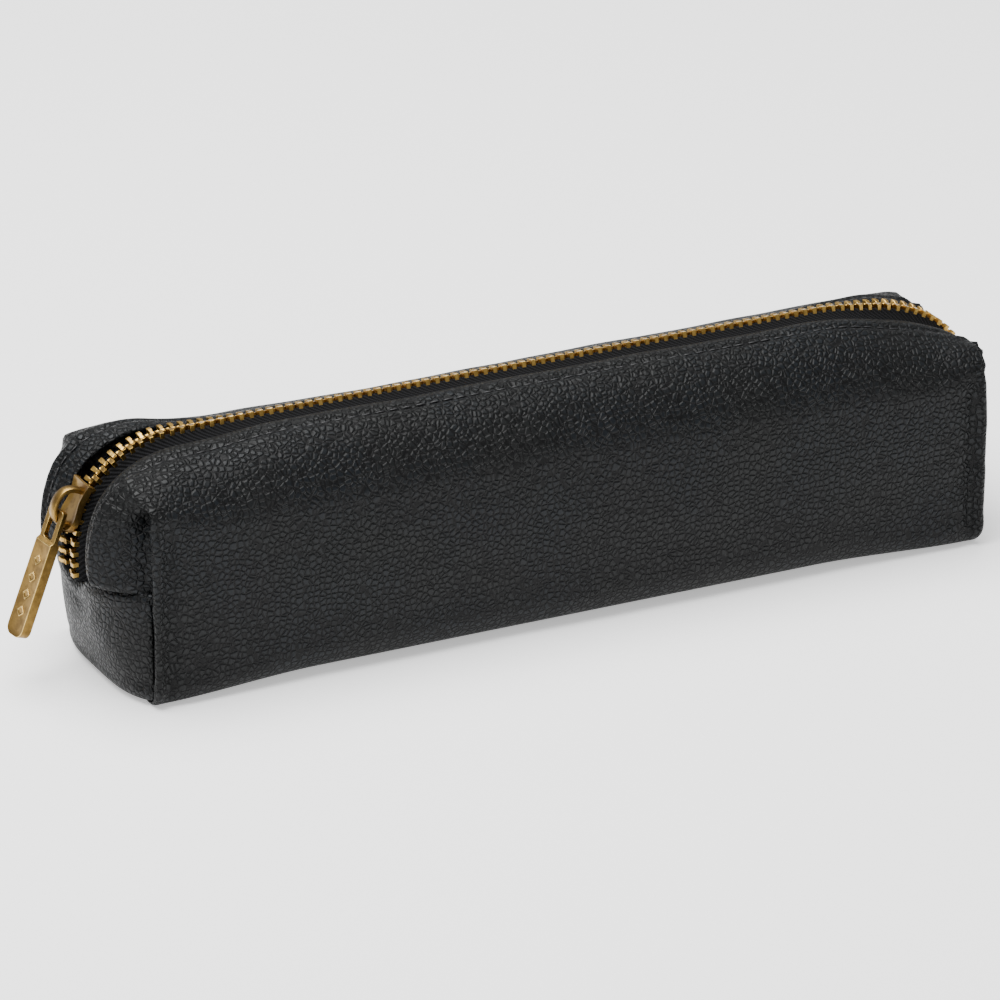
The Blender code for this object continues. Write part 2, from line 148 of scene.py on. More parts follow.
class Finish:
    """One material and the nodes that feed its Principled shader."""

    def __init__(self, name, **constants):
        self.material = bpy.data.materials.new(name)
        self.material.use_nodes = True
        self.tree = self.material.node_tree
        self.shader = self.tree.nodes["Principled BSDF"]
        for socket, value in constants.items():
            self.shader.inputs[socket.replace("_", " ")].default_value = value

    def add(self, kind, settings=None, values=None, out=0):
        node = self.tree.nodes.new("ShaderNode" + kind)
        for name, value in (settings or {}).items():
            setattr(node, name, value)
        for place, value in (values or {}).items():
            self.feed(node.inputs[place], value)
        return Signal(self, node.outputs[out])

    def feed(self, socket, value):
        if isinstance(value, Signal):
            self.tree.links.new(value.socket, socket)
        else:
            socket.default_value = value

    def place(self):
        return self.add("TexCoord", out="Object")

    def noise(self, where, scale, detail=2.0, roughness=0.5):
        return self.add("TexNoise", None, {"Vector": where, "Scale": scale, "Detail": detail, "Roughness": roughness})

    def colour(self, mask, first, second):
        values = {0: mask, 6: first, 7: second}
        return self.add("Mix", {"data_type": "RGBA"}, values, out=2)

    def warped(self, where, scale, amount):
        """The place, pushed about by a soft noise, so that a pattern doesn't look ruled."""
        push = self.add("TexNoise", None, {"Vector": where, "Scale": scale, "Detail": 1.0}, out="Color")
        centred = self.add("VectorMath", {"operation": "SUBTRACT"}, {0: push, 1: (0.5, 0.5, 0.5)})
        scaled = self.add("VectorMath", {"operation": "SCALE"}, {0: centred, "Scale": amount})
        return self.add("VectorMath", {"operation": "ADD"}, {0: where, 1: scaled})

    def raised(self, height, distance, strength=1.0):
        bump = self.add("Bump", None, {"Height": height, "Distance": distance, "Strength": strength})
        self.tree.links.new(bump.socket, self.shader.inputs["Normal"])

    def set(self, **signals):
        for socket, signal in signals.items():
            self.feed(self.shader.inputs[socket.replace("_", " ")], signal)


# %% [markdown]
# ## The leather's finish
# Pebbled leather is a skin of small soft domes, 1.2 to 1.8 mm across, parted by narrow creases. A Voronoi texture
# gives each dome its cell, and the distance to the cell's edge gives the crease. A second, smaller pattern adds
# the fine wrinkles. The colour is close to black and a little bluer on the domes. The creases are painted near
# black as painted shade, so the domes look lighter.

# %% Leather
def leather_finish():
    finish = Finish("black_pebbled_leather", Specular_IOR_Level=0.17)
    place = finish.place()
    grain_place = finish.warped(place, 300.0, 0.9 * MM)
    cells = {"Vector": grain_place, "Scale": 760.0, "Randomness": 0.85}
    edge = finish.add("TexVoronoi", {"feature": "DISTANCE_TO_EDGE"}, cells)
    inside = edge.step(0.0, 0.34)
    dome = 1 - (1 - inside) ** 2
    fine = finish.noise(finish.warped(place, 900.0, 0.5 * MM), 2400.0, 2.0)
    broad = finish.noise(place, 42.0, 2.0)
    height = dome + fine * 0.10
    finish.raised(height, 0.20 * MM, 1.0)
    tint = finish.colour(broad.step(0.35, 0.65), (0.0052, 0.0068, 0.0086, 1), (0.0068, 0.0074, 0.0074, 1))
    # Painted shade: the creases between the domes are painted near black, darker than the domes' own tint.
    crease = finish.colour(inside, (0.0006, 0.0007, 0.0008, 1), tint)
    finish.set(Base_Color=crease, Roughness=0.48 - inside * 0.14 + fine * 0.10)
    return finish.material


LEATHER = leather_finish()
print("finish:", LEATHER.name)


# %% [markdown]
# ## Small tools for the meshes
# Each panel starts as a flat grid. Its vertices are then moved to where that bit of leather lies on the case, and
# the place comes from a formula for the row and the column. Panels are made for one quarter and mirrored.

# %% Mesh helpers
def ease(low, high, x):
    share = min(max((x - low) / (high - low), 0.0), 1.0)
    return share * share * (3 - 2 * share)


def mound(x, centre, width):
    return math.exp(-(((x - centre) / width) ** 2))


def grid(columns, rows, place):
    """A bmesh grid whose vertex at (column, row) is moved to place(column, row)."""
    bm = bmesh.new()
    bmesh.ops.create_grid(bm, x_segments=columns, y_segments=rows, size=1)
    for vert in bm.verts:
        column = round((vert.co.x + 1) / 2 * columns)
        row = round((vert.co.y + 1) / 2 * rows)
        vert.co = place(column, row)
    return bm


def mirrored(bm, axis):
    """Adds the mirror image across the middle, joined where the two halves meet."""
    bmesh.ops.mirror(bm, geom=bm.verts[:] + bm.edges[:] + bm.faces[:], axis=axis, merge_dist=0.02 * MM)


def face_away_from(bm, inside):
    """Turns an open sheet so that its faces look away from a point inside the case."""
    bmesh.ops.remove_doubles(bm, verts=bm.verts, dist=0.02 * MM)
    bmesh.ops.recalc_face_normals(bm, faces=bm.faces)
    outward = sum(face.normal.dot(face.calc_center_median() - inside) * face.calc_area() for face in bm.faces)
    if outward < 0:
        bmesh.ops.reverse_faces(bm, faces=bm.faces)


def as_mesh(name, bm):
    mesh = bpy.data.meshes.new(name)
    bm.to_mesh(mesh)
    bm.free()
    return mesh


def finished(name, bm, *materials, smooth=True, sharp=None):
    mesh = as_mesh(name, bm)
    for material in materials:
        mesh.materials.append(material)
    if smooth:
        mesh.shade_smooth()
    if sharp:
        mesh.set_sharp_from_angle(angle=math.radians(sharp))
    piece = bpy.data.objects.new(name, mesh)
    bpy.context.scene.collection.objects.link(piece)
    return piece


def thicken(piece, thickness):
    solid = piece.modifiers.new("thickness", "SOLIDIFY")
    solid.thickness = thickness
    solid.offset = -1
    solid.use_quality_normals = True


# %% [markdown]
# ## The case's lines
# Three lines carry the whole case. The zip's line runs over the top and down the ends. The shoulder is the round
# between the top and the front, 11 mm in radius along the middle and 3.6 mm at the corners. The ridge is the pinched
# seam that stands at each corner, where the front panel rolls over and tucks in behind itself.

# %% The zip's line and the shoulder
SHOULDER_HEIGHT, CORNER_HEIGHT = 46.5 * MM, 46.2 * MM
SHOULDER_RADIUS, CORNER_RADIUS = 11 * MM, 3.6 * MM
TOP_SLOPE = math.radians(14)
ZIP_MIDDLE = TURN_Z - SEAM + math.pi / 2 * TURN + TURN_X  # from the end seam to the middle of the top


def zip_line(along):
    """Point and outward normal on the left half of the zip, by the distance from the middle of the top."""
    turn_length = math.pi / 2 * TURN
    centre = Vector((-TURN_X, 0, TURN_Z))
    if along < TURN_X:
        return Vector((-along, 0, TURN_Z + TURN)), UP.copy()
    if along < TURN_X + turn_length:
        angle = (along - TURN_X) / TURN
        normal = Vector((-math.sin(angle), 0, math.cos(angle)))
        return centre + normal * TURN, normal
    return centre + LEFT * TURN - UP * (along - TURN_X - turn_length), LEFT.copy()


def measured(p):
    """Distance along the zip from the middle of the top."""
    out = abs(p.x) - TURN_X
    if out > 0:
        angle = math.atan2(out, max(p.z - TURN_Z, 0))
        return math.copysign(TURN_X + angle * TURN + max(TURN_Z - p.z, 0), p.x)
    return p.x


def shoulder(x, degrees):
    """Point and normal on the shoulder's round. 180 degrees faces the front and 90 straight up."""
    share = ease(TURN_X - 6 * MM, END, abs(x))
    height = SHOULDER_HEIGHT + (CORNER_HEIGHT - SHOULDER_HEIGHT) * share
    radius = SHOULDER_RADIUS + (CORNER_RADIUS - SHOULDER_RADIUS) * share
    slope = TOP_SLOPE * (1 - share)
    level = height + radius * math.tan(slope) - radius / math.cos(slope)
    normal = Vector((0, math.cos(math.radians(degrees)), math.sin(math.radians(degrees))))
    return Vector((x, -SIDE + radius, level)) + normal * radius, normal, radius


print(f"the zip is {2 * ZIP_MIDDLE / MM:.0f} mm long from seam to seam")

# %% [markdown]
# ## The front panel
# The panel hangs from the shoulder, rolls under the case and stops on the underside. Its last columns go half way
# round a bead of 1.2 mm, which is the ridge. The bead's radius shrinks to nothing at the shoulder, where the real
# ridge runs out into a pucker.

# %% Front panel
BEAD = 1.2 * MM
BASE_RADIUS = 8.8 * MM
BASE_CORNER_RADIUS = 4.5 * MM
BORDER = 135  # degrees round the shoulder where the front panel and the lip meet
BEAD_COLUMNS, MAIN_COLUMNS = 7, 132
ARC_ROWS, FACE_ROWS, BASE_ROWS, UNDER_ROWS = 9, 38, 13, 2


def column_line(column):
    """(x, turn round the bead) of a column of the front panel. Column 0 is the hidden end of the bead."""
    inner = END - BEAD
    if column < BEAD_COLUMNS:
        return -inner, math.pi * (BEAD_COLUMNS - column) / BEAD_COLUMNS
    return -inner * (1 - (column - BEAD_COLUMNS) / MAIN_COLUMNS), 0.0


def spread_x(x, turn, radius):
    """Where a column stands when the bead has this radius."""
    if turn == 0:
        return x
    return x - (BEAD - radius) * turn / math.pi - radius * math.sin(turn)


def base_radius(x):
    return BASE_RADIUS + (BASE_CORNER_RADIUS - BASE_RADIUS) * ease(END - 40 * MM, END - 2 * MM, abs(x))


def front_section(x, row):
    """Point, normal and distance from the shoulder's border, down the front and under the case."""
    low = base_radius(x)
    if row <= ARC_ROWS:
        degrees = BORDER + (180 - BORDER) * row / ARC_ROWS
        point, normal, radius = shoulder(x, degrees)
        return point, normal, radius * math.radians(degrees - BORDER)
    top, _, radius = shoulder(x, 180)
    start = radius * math.radians(180 - BORDER)
    row -= ARC_ROWS
    if row <= FACE_ROWS:
        share = row / FACE_ROWS
        drop = (top.z - low) * share
        puff = 0.5 * MM * math.sin(math.pi * share) * ease(END, END - 25 * MM, abs(x))
        return Vector((x, -SIDE - puff, top.z - drop)), FRONT.copy(), start + drop
    start += top.z - low
    row -= FACE_ROWS
    centre = Vector((x, -SIDE + low, low))
    if row <= BASE_ROWS:
        angle = math.pi / 2 * row / BASE_ROWS
        normal = Vector((0, -math.cos(angle), -math.sin(angle)))
        return centre + normal * low, normal, start + angle * low
    run = (row - BASE_ROWS) * 0.5 * MM
    start += low * math.pi / 2 + run
    return centre - UP * low - FRONT * run, -UP, start


def foot_share(level):
    """How much of the bead's radius is left where it rolls under."""
    return 0.35 + 0.65 * ease(0, BASE_CORNER_RADIUS, level)


def front_place(column, row):
    x, turn = column_line(column)
    point, normal, below = front_section(x, row)
    radius = BEAD * ease(0.3 * MM, 4.5 * MM, below) * foot_share(point.z)
    foot = ease(0, 5 * MM, point.z)
    proud = 0.85 * MM * mound(abs(x), END - 0.9 * MM, 1.3 * MM) * ease(2 * MM, 8 * MM, below) * foot
    valley = 0.65 * MM * mound(abs(x), END - 3.6 * MM, 1.5 * MM) * ease(1 * MM, 8 * MM, below) * foot
    point = point + normal * (proud - valley - radius * (1 - math.cos(turn)))
    point.x = spread_x(x, turn, radius)
    return point


FRONT_COLUMNS = BEAD_COLUMNS + MAIN_COLUMNS
FRONT_ROWS = ARC_ROWS + FACE_ROWS + BASE_ROWS + UNDER_ROWS
front_mesh = grid(FRONT_COLUMNS, FRONT_ROWS, front_place)
print("front panel:", len(front_mesh.faces), "faces for one half")

# %% [markdown]
# ## The lip along the zip
# The lip is the strip between the zip and the shoulder. It starts under its own folded edge, rolls over the fold
# and runs outwards to the shoulder. Past the corner it turns down and becomes the upper half of the end face,
# where it puffs out and then dives behind the ridge. Each cross line is one cubic curve with four handles.

# %% The lip's lines
FOLD = 0.55 * MM  # radius of the folded edge
TUCK_ROWS, ROLL_ROWS, ACROSS_ROWS = 2, 6, 34
RIDGE_COLUMNS, RIM_COLUMNS = 34, 6
RIM = 1.9 * MM  # radius of the leather where it dives into the end seam
LIP_LOW_EDGE, LIP_LOW_RIDGE = SEAM + 3.6 * MM, SEAM + 2.8 * MM  # where that dive starts, by the zip and by the ridge
RIDGE_X, RIDGE_Y = -(END - 0.5 * BEAD), -(SIDE - 1.9 * BEAD)  # the line behind the bead
STITCH_LINE = 3.4 * MM
EDGE_DROP, CORNER_RISE = 0.7 * MM, 2.2 * MM  # the folded edge, below the chain along the top and higher at the corner


def edge_drop(along):
    return EDGE_DROP - CORNER_RISE * mound(along, TURN_X + 20 * MM, 16 * MM)


def lip_ends(along):
    """The two ends of the cross line at this distance from the middle of the top: zip side, shoulder side."""
    over = max(along - END, 0.0)
    top_point, top_normal, _ = shoulder(-min(along, END), BORDER)
    if over == 0:
        edge, normal = zip_line(along)
        return edge, normal, top_point, top_normal
    share = over / (ZIP_MIDDLE - END)
    low = ZIP_MIDDLE - (LIP_LOW_EDGE - SEAM)
    edge, normal = zip_line(END + share * (low - END))
    level = top_point.z + (LIP_LOW_RIDGE - top_point.z) * share
    ridge = Vector((RIDGE_X, RIDGE_Y, level))
    side = top_point.lerp(ridge, ease(0, 0.12, share))
    side.z = level
    return edge, normal, side, Vector((-0.75, -0.66, 0))


def lip_point(along, across):
    """Point and normal on the lip. across is the distance from the folded edge, in metres."""
    edge, normal, side, side_normal = lip_ends(along)
    corner = ease(END - 5 * MM, END + 5 * MM, along)
    start = edge + FRONT * (EDGE + FOLD) - normal * edge_drop(along)
    lift = -0.10 + 0.42 * ease(TURN_X - 5 * MM, END + 10 * MM, along)
    leave = (FRONT + normal * lift).normalized()
    top_arrive = Vector((0, -0.71, -0.71))
    end_arrive = Vector((0.62, -0.78, 0.0))
    arrive = top_arrive.lerp(end_arrive, corner).normalized()
    reach = (side - start).length
    share = min(across / reach, 1.0)
    one, two = start + leave * reach * 0.50, side - arrive * reach * (0.34 + 0.16 * corner)
    left = 1 - share
    point = start * left**3 + one * 3 * left**2 * share + two * 3 * left * share**2 + side * share**3
    facing = normal.lerp(side_normal, share**2).normalized()
    return point, facing, reach, share


def lip_relief(along, across, share):
    """Height of the folds: the edge's own roll, the stitch groove and the soft ridge past it."""
    height = 0.40 * MM * mound(across, 1.6 * MM, 1.2 * MM)
    height -= 0.45 * MM * mound(across, STITCH_LINE, 0.6 * MM)
    height += 0.30 * MM * mound(across, 5.2 * MM, 1.3 * MM)
    end = ease(TURN_X + 10 * MM, END + 8 * MM, along)
    height += 0.35 * MM * end * mound(across, 5.0 * MM, 1.4 * MM)
    height += 1.7 * MM * end * math.sin(math.pi * share) ** 1.2
    behind_ridge = ease(END, END + 4 * MM, along) * mound(share, 0.95, 0.07)
    dimple = mound(along, END + 5.0 * MM, 4.0 * MM) * mound(share, 0.90, 0.10)
    return height - 1.1 * MM * behind_ridge - 2.4 * MM * dimple


def lip_place_at(along, row):
    edge, normal, _, _ = lip_ends(along)
    fold_centre = edge + FRONT * (EDGE + FOLD) - normal * (FOLD + edge_drop(along))
    if row < TUCK_ROWS:
        return fold_centre - normal * FOLD + FRONT * (TUCK_ROWS - row) * 1.4 * MM
    row -= TUCK_ROWS
    if row < ROLL_ROWS:
        angle = math.pi * (row / ROLL_ROWS - 0.5)
        return fold_centre + (normal * math.sin(angle) - FRONT * math.cos(angle)) * FOLD
    share = (row - ROLL_ROWS) / ACROSS_ROWS
    share = 0.55 * share + 0.45 * share**2 if along > END else share
    _, _, reach, _ = lip_point(along, 0)
    point, facing, _, _ = lip_point(along, share * reach)
    return point + facing * lip_relief(along, share * reach, share)


# %% Front panel and lip, sewn into one leather
LIP_COLUMNS = RIM_COLUMNS + RIDGE_COLUMNS + FRONT_COLUMNS
LIP_ROWS = TUCK_ROWS + ROLL_ROWS + ACROSS_ROWS


def lip_place(column, row):
    """Columns run from inside the end seam, up the end face and along the top to the middle."""
    if column < RIM_COLUMNS:
        point = lip_place_at(ZIP_MIDDLE, row)
        turn = math.pi / 2 * min((RIM_COLUMNS - column) / (RIM_COLUMNS - 1), 1)
        inward = 2.2 * MM if column == 0 else 0
        return point - LEFT * (RIM * (1 - math.cos(turn)) + inward) - UP * RIM * math.sin(turn)
    column -= RIM_COLUMNS
    if column < RIDGE_COLUMNS:
        share = (RIDGE_COLUMNS - column) / RIDGE_COLUMNS
        return lip_place_at(END + share * (ZIP_MIDDLE - END), row)
    x, turn = column_line(column - RIDGE_COLUMNS)
    return lip_place_at(-spread_x(x, turn, 0.0), row)


lip_mesh = grid(LIP_COLUMNS, LIP_ROWS, lip_place)
front_mesh.from_mesh(as_mesh("lip_copy", lip_mesh))
bmesh.ops.remove_doubles(front_mesh, verts=front_mesh.verts, dist=0.02 * MM)
mirrored(front_mesh, "X")
face_away_from(front_mesh, Vector((0, 0, 25 * MM)))
print("front leather:", len(front_mesh.faces), "faces")

# %% [markdown]
# ## The base
# One strip makes the flat underside and, folded up at both ends, the lower half of each end face. Its upper rim
# rolls inwards at the end seam, under the lip, and catches the light there.

# %% Base panel
BASE_CORNER = 3.6 * MM  # radius between an end face and the underside
BASE_LOW_EDGE, BASE_LOW_RIDGE = SEAM - 0.4 * MM, SEAM - 0.8 * MM
DOWN_COLUMNS, CORNER_COLUMNS, FLAT_COLUMNS = 20, 20, 60
BASE_HALF_ROWS = 30
UNDER_X = -END + 2.5 * MM
NOTCH = 3.4 * MM  # how far the base's rim dips where the zip runs in under it
BASE_LEAN = 3.4 * MM  # the end face stands out less at the floor than at the seam


def under_y(x):
    """Half the width of the flat underside: the strip ends where the front panel has rolled under."""
    return SIDE - base_radius(x) - 0.6 * MM


def base_lines(column):
    """The middle line and the side line of the base, from the end seam down and along the underside."""
    top_stands = END + OVERHANG - 0.4 * MM
    stands = top_stands - BASE_LEAN
    if column <= DOWN_COLUMNS:
        share = column / DOWN_COLUMNS
        level = BASE_LOW_EDGE + (BASE_CORNER - BASE_LOW_EDGE) * share
        middle = Vector((-top_stands + BASE_LEAN * share**1.8, 0, level))
        side = Vector((RIDGE_X, RIDGE_Y, BASE_LOW_RIDGE + (BASE_CORNER_RADIUS - BASE_LOW_RIDGE) * share))
        return middle, side, LEFT.copy()
    column -= DOWN_COLUMNS
    if column <= CORNER_COLUMNS:
        angle = math.pi / 2 * column / CORNER_COLUMNS
        normal = Vector((-math.cos(angle), 0, -math.sin(angle)))
        middle = Vector((-stands + BASE_CORNER, 0, BASE_CORNER)) + normal * BASE_CORNER
        round_side = Vector((RIDGE_X, -SIDE + BASE_CORNER_RADIUS, BASE_CORNER_RADIUS))
        side_radius = BASE_CORNER_RADIUS - 1.9 * BEAD * foot_share(BASE_CORNER_RADIUS * (1 - math.sin(angle)))
        round_side += Vector((0, -math.cos(angle), -math.sin(angle))) * side_radius
        slide_in = ease(0.5, 1.0, column / CORNER_COLUMNS)
        under = Vector((UNDER_X, -under_y(UNDER_X), 0))
        return middle, round_side.lerp(under, slide_in), normal
    share = (column - CORNER_COLUMNS) / FLAT_COLUMNS
    start_middle = -stands + BASE_CORNER
    side_x = UNDER_X * (1 - share)
    return Vector((start_middle * (1 - share), 0, 0)), Vector((side_x, -under_y(side_x), 0)), -UP


def base_place(column, row):
    rim_turn, inward = 0.0, 0.0
    if column < RIM_COLUMNS:
        rim_turn = math.pi / 2 * min((RIM_COLUMNS - column) / (RIM_COLUMNS - 1), 1)
        inward = 2.5 * MM if column == 0 else 0
        column = RIM_COLUMNS
    middle, side, normal = base_lines(column - RIM_COLUMNS)
    across = row / BASE_HALF_ROWS
    share = 1 - across ** (2.3 + 1.4 * min(column / (RIM_COLUMNS + DOWN_COLUMNS), 1))
    point = side.lerp(middle, share)
    point.y = side.y * across
    if column - RIM_COLUMNS <= DOWN_COLUMNS:
        level = (column - RIM_COLUMNS) / DOWN_COLUMNS
        point += normal * 0.8 * MM * mound(level, 0.02, 0.12) * (1 - across**6)
        dip = mound(point.y, 0, 5 * MM) * (1 - ease(0, 0.6, level))
        point += (Vector((1.2 * MM, 0, 0)) - UP * NOTCH) * dip
    point -= LEFT * (RIM * (1 - math.cos(rim_turn)) + inward)
    point += UP * RIM * math.sin(rim_turn)
    return point


base_mesh = grid(RIM_COLUMNS + DOWN_COLUMNS + CORNER_COLUMNS + FLAT_COLUMNS, BASE_HALF_ROWS, base_place)
mirrored(base_mesh, "X")
mirrored(base_mesh, "Y")
face_away_from(base_mesh, Vector((0, 0, 25 * MM)))
print("base leather:", len(base_mesh.faces), "faces")

# %% [markdown]
# ## Soft unevenness
# Leather is never true. A broad noise moves the surface by a fraction of a millimetre, and small folds fan out
# from the places at each end where the seams pull: the tops and the feet of the ridges. Along the middle the whole
# zip leans to the back, because the back lip has sunk, and that lean is shared by every piece near the zip.

# %% Uneven leather
FOLD_REACH, FOLD_HEIGHT = 7 * MM, 0.20 * MM
LEAN = math.radians(19)
SINK = 2.0 * MM  # the top of the right end, below the left one
CHAIN = Vector((0, 0, TURN_Z + TURN))


def settled(p):
    """Turns what lies near the chain a little to the back, and lets the right end lie flatter than the left."""
    from_chain = Vector((0, p.y, p.z - CHAIN.z))
    turn = LEAN * (1 - ease(3 * MM, 27 * MM, from_chain.length)) * (1 - ease(64 * MM, TURN_X + 9 * MM, abs(p.x)))
    spot = CHAIN + Matrix.Rotation(-turn, 3, "X") @ from_chain
    spot.x = p.x
    if p.x > 0:
        spot.z -= SINK * ease(70 * MM, 94 * MM, p.x) * ease(26 * MM, 44 * MM, p.z)
        lips = ease(3 * MM, 7 * MM, abs(p.y)) * (1 - ease(14 * MM, 22 * MM, abs(p.y)))
        toward = Vector((TURN_X - p.x, 0, TURN_Z - p.z))
        spot += toward.normalized() * CORNER_RISE * 0.9 * lips * mound(measured(p), TURN_X + 20 * MM, 16 * MM)
    wedge = END + OVERHANG * (1 - abs(p.y) / SIDE)
    if p.x > wedge:
        spot.x = wedge + (p.x - wedge) * (0.15 + 0.85 * ease(19 * MM, 22 * MM, abs(p.y)))
    return spot


def settle(bm):
    for vert in bm.verts:
        vert.co = settled(vert.co)
    bm.normal_update()


def soften(bm, seed):
    bm.normal_update()
    offset = Vector((seed, 2 * seed, 3 * seed))
    moves = []
    for vert in bm.verts:
        p = vert.co
        broad = noise.noise(p * 38 + offset) * 0.35 * MM + noise.noise(p * 95 + offset) * 0.13 * MM
        free = ease(0.4 * MM, 4 * MM, p.z)
        folds = 0.0
        for level in (CORNER_HEIGHT - 3 * MM, 3 * MM, SEAM + 1 * MM):
            from_seam = Vector((abs(p.x) - END, abs(p.y) - SIDE, p.z - level))
            fan = math.atan2(from_seam.z, -from_seam.x - from_seam.y)
            ripple = math.sin(fan * 9 + 4 * noise.noise(p * 160 + offset))
            near = math.exp(-from_seam.length / FOLD_REACH) * ease(0.8 * MM, 3 * MM, from_seam.length)
            folds += ripple * FOLD_HEIGHT * near
        moves.append(vert.normal * (broad * free + folds * free))
    for vert, move in zip(bm.verts, moves):
        vert.co += move


soften(front_mesh, 3.7)
back_mesh = front_mesh.copy()
bmesh.ops.scale(back_mesh, vec=(1, -1, 1), verts=back_mesh.verts)
face_away_from(back_mesh, Vector((0, 0, 25 * MM)))
soften(base_mesh, 8.1)
for mesh in (front_mesh, back_mesh, base_mesh):
    settle(mesh)

leather_front = finished("leather_front", front_mesh, LEATHER)
leather_back = finished("leather_back", back_mesh, LEATHER)
leather_base = finished("leather_base", base_mesh, LEATHER)
for piece in (leather_front, leather_back, leather_base):
    thicken(piece, 0.35 * MM)
    print(piece.name, len(piece.data.polygons), "faces")

# %% [markdown]
# ## The tape
# The zip's cloth is a twill, woven in diagonal ribs. Its inner edge is a thick cord that the teeth bite on, and
# its outer edge lies under the folded leather. The ribs have to follow the tape round the corner, so the mesh
# carries its own measure, along and across, as an attribute that the material reads.

# %% Tape
def wave(signal, period):
    turned = signal * (2 * math.pi / period)
    return turned.maths("SINE", turned)


def twill_finish():
    finish = Finish("black_twill_tape", Specular_IOR_Level=0.12)
    measure = finish.add("Attribute", {"attribute_name": "weave"}, out="Vector")
    parts = finish.tree.nodes.new("ShaderNodeSeparateXYZ")
    finish.feed(parts.inputs[0], measure)
    along, across = (Signal(finish, parts.outputs[i]) for i in (0, 1))
    rib = wave(along * 0.8 + across, 0.95)
    thread = wave(along * 0.8 - across, 0.45)
    fuzz = finish.noise(finish.place(), 3500.0, 2.0)
    height = rib * 0.5 + thread * 0.15 + fuzz * 0.4
    finish.raised(height, 0.16 * MM, 1.0)
    # Painted shade: the colour is near black in the grooves between the ribs and lighter on the ribs' crowns.
    finish.set(
        Base_Color=finish.colour(rib.step(-0.9, 0.8), (0.0010, 0.0010, 0.0012, 1), (0.0085, 0.0086, 0.0095, 1)),
        Roughness=0.85 + fuzz * 0.1,
    )
    return finish.material


TWILL = twill_finish()
ROW_OFF = 1.5 * MM  # how far each row stands off the middle under the slider
SLIDER_AT = TURN_X + math.radians(64.5) * TURN  # along the zip, from the middle of the top
TAPE_COLUMNS = 330
TAPE_PROFILE = (  # distance from the middle of the chain and height over the tape's outer face, in mm
    (0.95, -0.55), (1.05, 0.15), (1.55, 0.60), (2.15, 0.60), (2.65, 0.05), (3.2, -0.45), (3.9, -0.95),
    (4.7, -1.45), (5.4, -1.85), (6.2, -2.15), (7.0, -2.35), (8.0, -2.45),
)


def zip_place(signed):
    """Point, outward normal and tangent towards the right, by the signed distance from the middle of the top."""
    point, normal = zip_line(abs(signed))
    if signed > 0:
        point.x, normal.x = -point.x, -normal.x
    return point, normal, Vector((normal.z, 0, -normal.x))


def row_off(signed):
    """How far a row of teeth is from its meshed place: nothing up to the slider, then fully apart."""
    return ROW_OFF * ease(SLIDER_AT - 1.5 * MM, SLIDER_AT + 4.5 * MM, -signed)


def tape_place(column, row):
    signed = (column / TAPE_COLUMNS - 0.5) * 2 * (ZIP_MIDDLE + 0.4 * MM)
    point, normal, _ = zip_place(signed)
    off, lift = TAPE_PROFILE[row]
    near = 1 - ease(2.6, 6.0, off)
    ripple = 0.08 * MM * noise.noise(Vector((signed * 120, off, 5))) * (1 - near)
    return point + FRONT * (off * MM + row_off(signed) * near) + normal * (lift * MM + ripple)


def tape_piece(name, side):
    bm = grid(TAPE_COLUMNS, len(TAPE_PROFILE) - 1, tape_place)
    measure = bm.verts.layers.float_vector.new("weave")
    for vert in bm.verts:
        vert[measure] = (measured(vert.co) / MM, vert.co.y / MM, 0)
    if side > 0:
        bmesh.ops.scale(bm, vec=(1, -1, 1), verts=bm.verts)
    face_away_from(bm, Vector((0, 0, 20 * MM)))
    settle(bm)
    piece = finished(name, bm, TWILL)
    thicken(piece, 0.35 * MM)
    return piece


tapes = {"front": tape_piece("zip_tape_cloth_front", -1), "back": tape_piece("zip_tape_cloth_back", 1)}
print("tapes:", [len(piece.data.polygons) for piece in tapes.values()], "faces")

# %% [markdown]
# ## Antique brass
# The metal is brass with a brown film. The film is thick on the flats and rubbed off along every edge, so the
# brass has two finishes: a brown one for the faces and a bright one, which the bevels get. The bright one is
# partly that rubbed brass and partly a painted highlight along every edge.

# %% Brass
def brass_finish(name, bright, dark, roughness, patchy):
    finish = Finish(name, Metallic=1.0)
    place = finish.place()
    patches = finish.noise(place, 420.0, 4.0, 0.6).step(0.38, 0.66)
    scratches = finish.noise(place, 3800.0, 2.0, 0.7)
    mask = patches * patchy
    finish.set(Base_Color=finish.colour(mask, bright, dark), Roughness=roughness + mask * 0.14 + scratches * 0.10)
    finish.raised(scratches + patches * 0.6, 0.02 * MM, 0.5)
    return finish.material


BRASS = brass_finish("antique_brass", (0.27, 0.165, 0.045, 1), (0.13, 0.075, 0.021, 1), 0.30, 0.75)
# Bright brass for the bevels: rubbed brass, and also a painted highlight along the edges.
BRIGHT_BRASS = brass_finish("rubbed_brass_painted_highlight", (0.62, 0.43, 0.15, 1), (0.36, 0.235, 0.075, 1), 0.20, 0.5)
TOOTH_BRASS = brass_finish("tooth_brass", (0.58, 0.37, 0.10, 1), (0.22, 0.125, 0.030, 1), 0.24, 0.6)

# %% [markdown]
# ## The teeth
# Each tooth is a small brass stamping: two legs that clamp the tape's cord, a neck, and a head with a hollow on
# top. The teeth of the two rows alternate, so the head of one lies between the heads of two others. One tooth is
# modelled from a cube, and placed every 2.3 mm.

# %% One tooth
PITCH = 2.3 * MM
TOOTH_STEPS = (  # forward, scale along the chain, scale in height
    (0.50, 0.74, 0.70),
    (0.22, 1.40, 1.00),
    (0.95, 0.96, 0.96),
)


def front_end(face):
    """Large for a face that looks forward and lies far forward."""
    return face.normal.y * 10 + face.calc_center_median().y / MM


